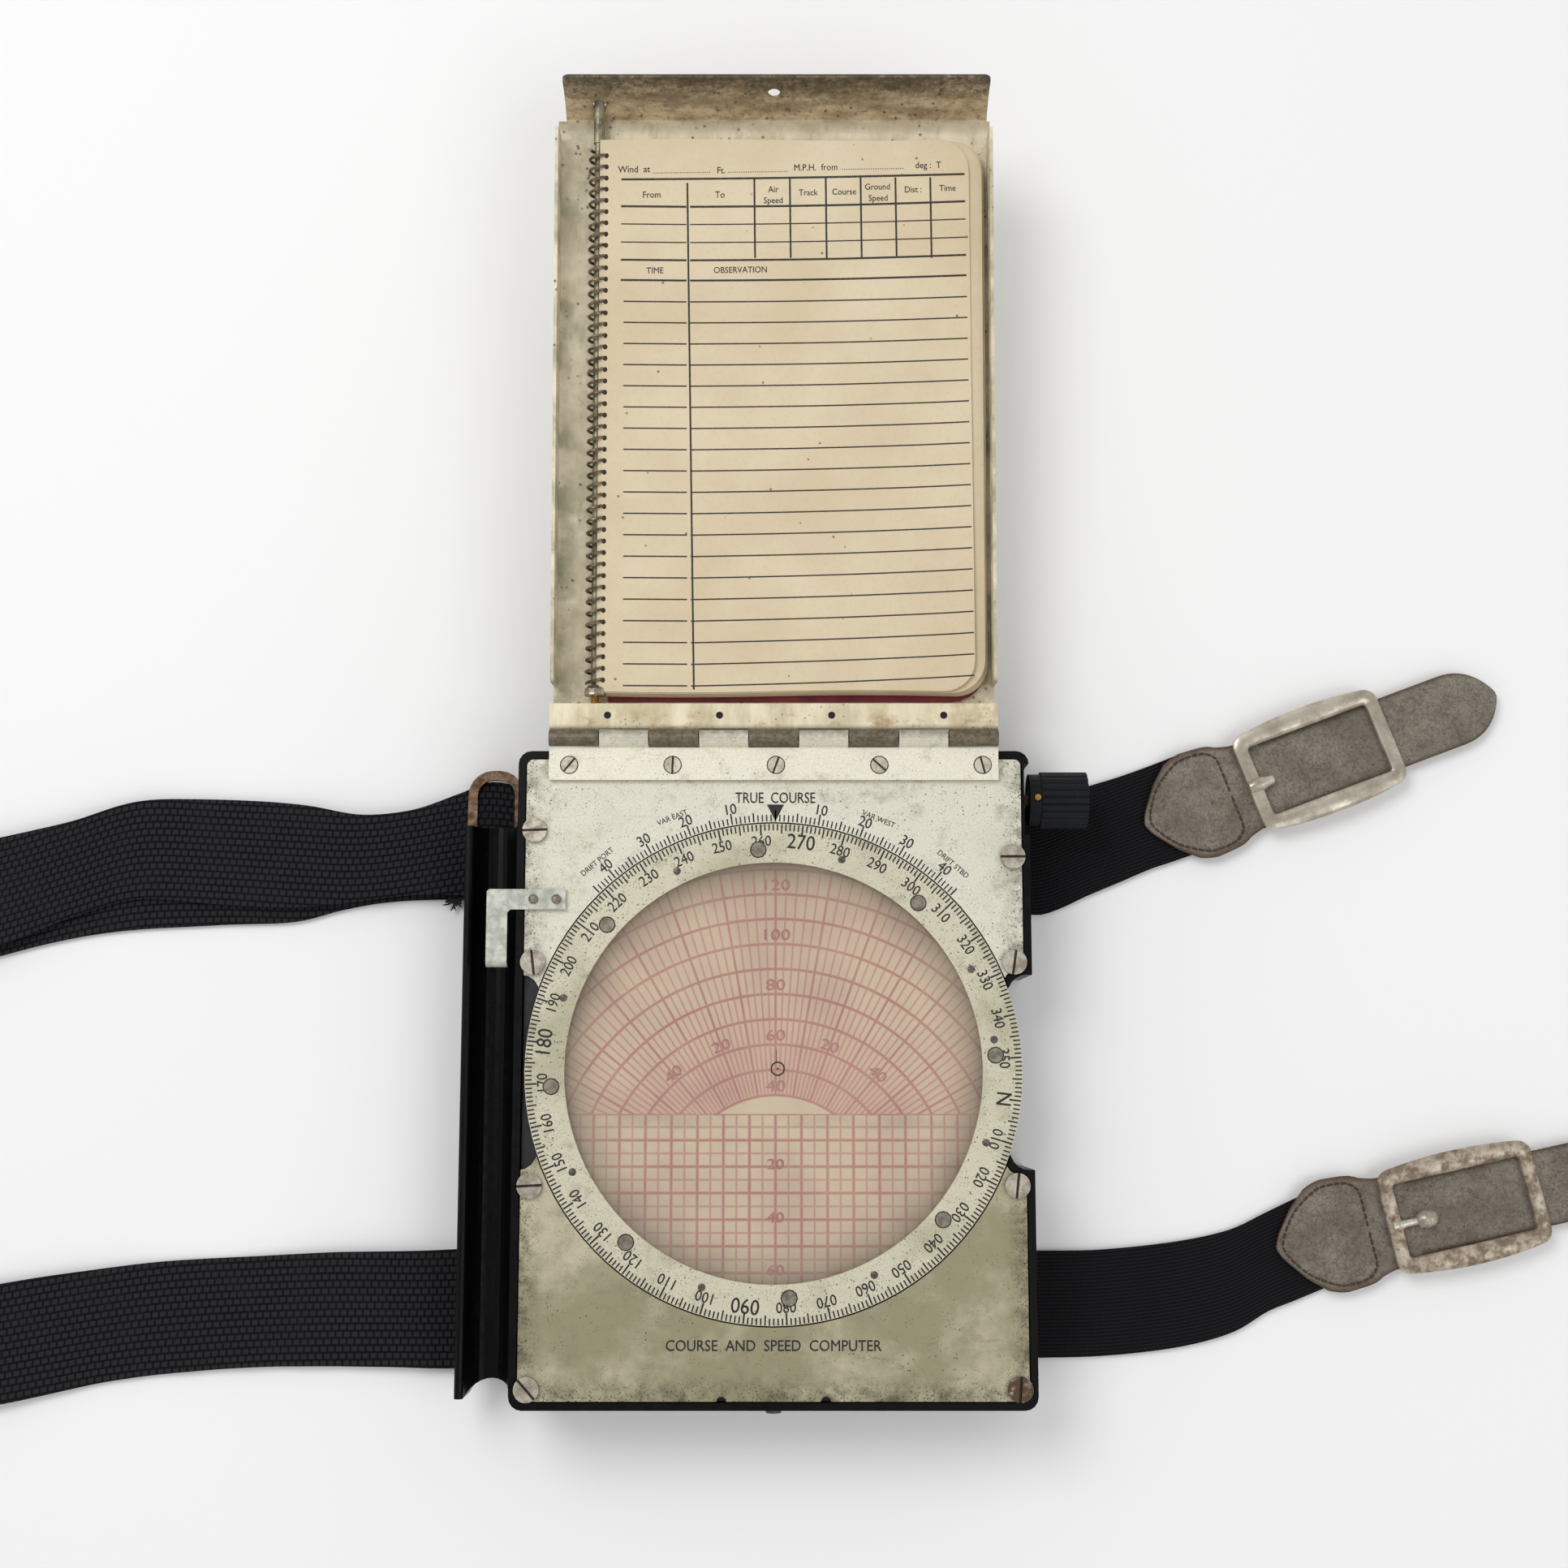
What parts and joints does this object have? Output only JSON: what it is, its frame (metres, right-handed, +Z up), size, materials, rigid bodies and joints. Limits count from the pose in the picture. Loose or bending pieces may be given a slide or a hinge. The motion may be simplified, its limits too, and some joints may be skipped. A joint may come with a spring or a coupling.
{
  "type": "flight computer",
  "caption": "Knee-strapped navigator's computer: black moulded case with a turning azimuth ring over a roller chart, pencil trough, and a hinged metal lid holding a spiral pad.",
  "frame": {"origin": "middle of the flat underside of the case", "axes": "+X to the right of the face, towards the knob; +Y from the face towards the lid's hinge; +Z up out of the face"},
  "size_m": [0.4886, 0.3651, 0.0458],
  "materials": {
    "bakelite": "glossy black moulding",
    "black_paint": "matt black",
    "face_metal": "aged silvered metal",
    "lid_metal": "dull, stained",
    "hinge_metal": "stained",
    "screw_metal": "worn nickel",
    "dark_metal": "darkened",
    "rod_metal": "plain steel",
    "wire_metal": "dark brown wire",
    "cheek_metal": "plain",
    "brass": "dull",
    "zinc": "mottled zinc plate",
    "rusted_steel": "rusty",
    "buckle_metal": "worn and pitted",
    "frosted_window": "frosted",
    "chart": "printed chart cloth",
    "roller": "plain",
    "crimson_card": "card",
    "paper": "aged paper",
    "webbing": "woven black cotton",
    "elastic": "ribbed black elastic",
    "grey_leather": "grained, stitched"
  },
  "bodies": {
    "case": {"case_moulding": "bakelite", "pencil_trough": "bakelite", "bearing_frame": "black_paint", "face_plate_upper": "face_metal", "face_plate_lower": "face_metal", "face_screw_left_1": "screw_metal", "face_screw_left_2": "screw_metal", "face_screw_left_3": "screw_metal", "face_screw_left_4": "screw_metal", "face_screw_right_1": "screw_metal", "face_screw_right_2": "screw_metal", "face_screw_right_3": "screw_metal", "face_screw_right_4": "screw_metal", "hinge_screw_1": "screw_metal", "hinge_screw_2": "screw_metal", "hinge_screw_3": "screw_metal", "hinge_screw_4": "screw_metal", "hinge_screw_5": "screw_metal", "clip_rivet_1": "screw_metal", "clip_rivet_2": "screw_metal", "roller_cheek_left": "cheek_metal", "roller_cheek_right": "cheek_metal", "platen": "cheek_metal", "upper_bush_left": "brass", "upper_bush_right": "brass", "lower_bush_left": "brass", "lower_bush_right": "brass", "chart_band": "chart", "hinge_pin": "dark_metal", "lid_catch_stud": "dark_metal", "hinge_leaf_case": "hinge_metal", "pencil_clip": "zinc", "strap_loop_upper": "rusted_steel", "strap_loop_lower": "rusted_steel", "webbing_upper": "webbing", "webbing_lower": "webbing", "elastic_upper": "elastic", "elastic_lower": "elastic", "leather_tab_upper": "grey_leather", "leather_tab_lower": "grey_leather", "buckle_upper": "buckle_metal", "buckle_lower": "buckle_metal"},
    "rose": {"azimuth_ring": "face_metal", "window_disc": "frosted_window", "ring_retainer": "dark_metal"},
    "chart_drive": {"upper_roller": "roller", "chart_knob": "bakelite", "knob_pin": "brass"},
    "chart_idler": {"lower_roller": "roller"},
    "lid": {"lid_shell": "lid_metal", "hinge_leaf_lid": "hinge_metal", "pad_back_cover": "crimson_card", "pad_pages": "paper", "spiral_binding": "wire_metal", "rod_socket": "brass"},
    "retaining_rod": {"pad_rod": "rod_metal"}
  },
  "joints": [
    {"name": "ring_turn", "type": "hinge", "parent": "case", "child": "rose", "pos_m": [0, 0.00084, 0.0297], "axis": [0, 0, 1], "continuous": true},
    {"name": "chart_knob_turn", "type": "hinge", "parent": "case", "child": "chart_drive", "pos_m": [0, 0.0742, 0.016], "axis": [1, 0, 0], "continuous": true},
    {"name": "lower_roller_turn", "type": "hinge", "parent": "case", "child": "chart_idler", "pos_m": [0, -0.0742, 0.016], "axis": [1, 0, 0], "continuous": true},
    {"name": "lid_hinge", "type": "hinge", "parent": "case", "child": "lid", "pos_m": [0, 0.089, 0.0316], "axis": [1, 0, 0], "range_deg": [0, 177]},
    {"name": "pad_rod_slide", "type": "slide", "parent": "lid", "child": "retaining_rod", "axis": [0, 0.9986, 0.0523], "range_m": [0, 0.15]}
  ],
  "couplings": [
    {"joint": "lower_roller_turn", "follows": "chart_knob_turn", "ratio": 1}
  ]
}
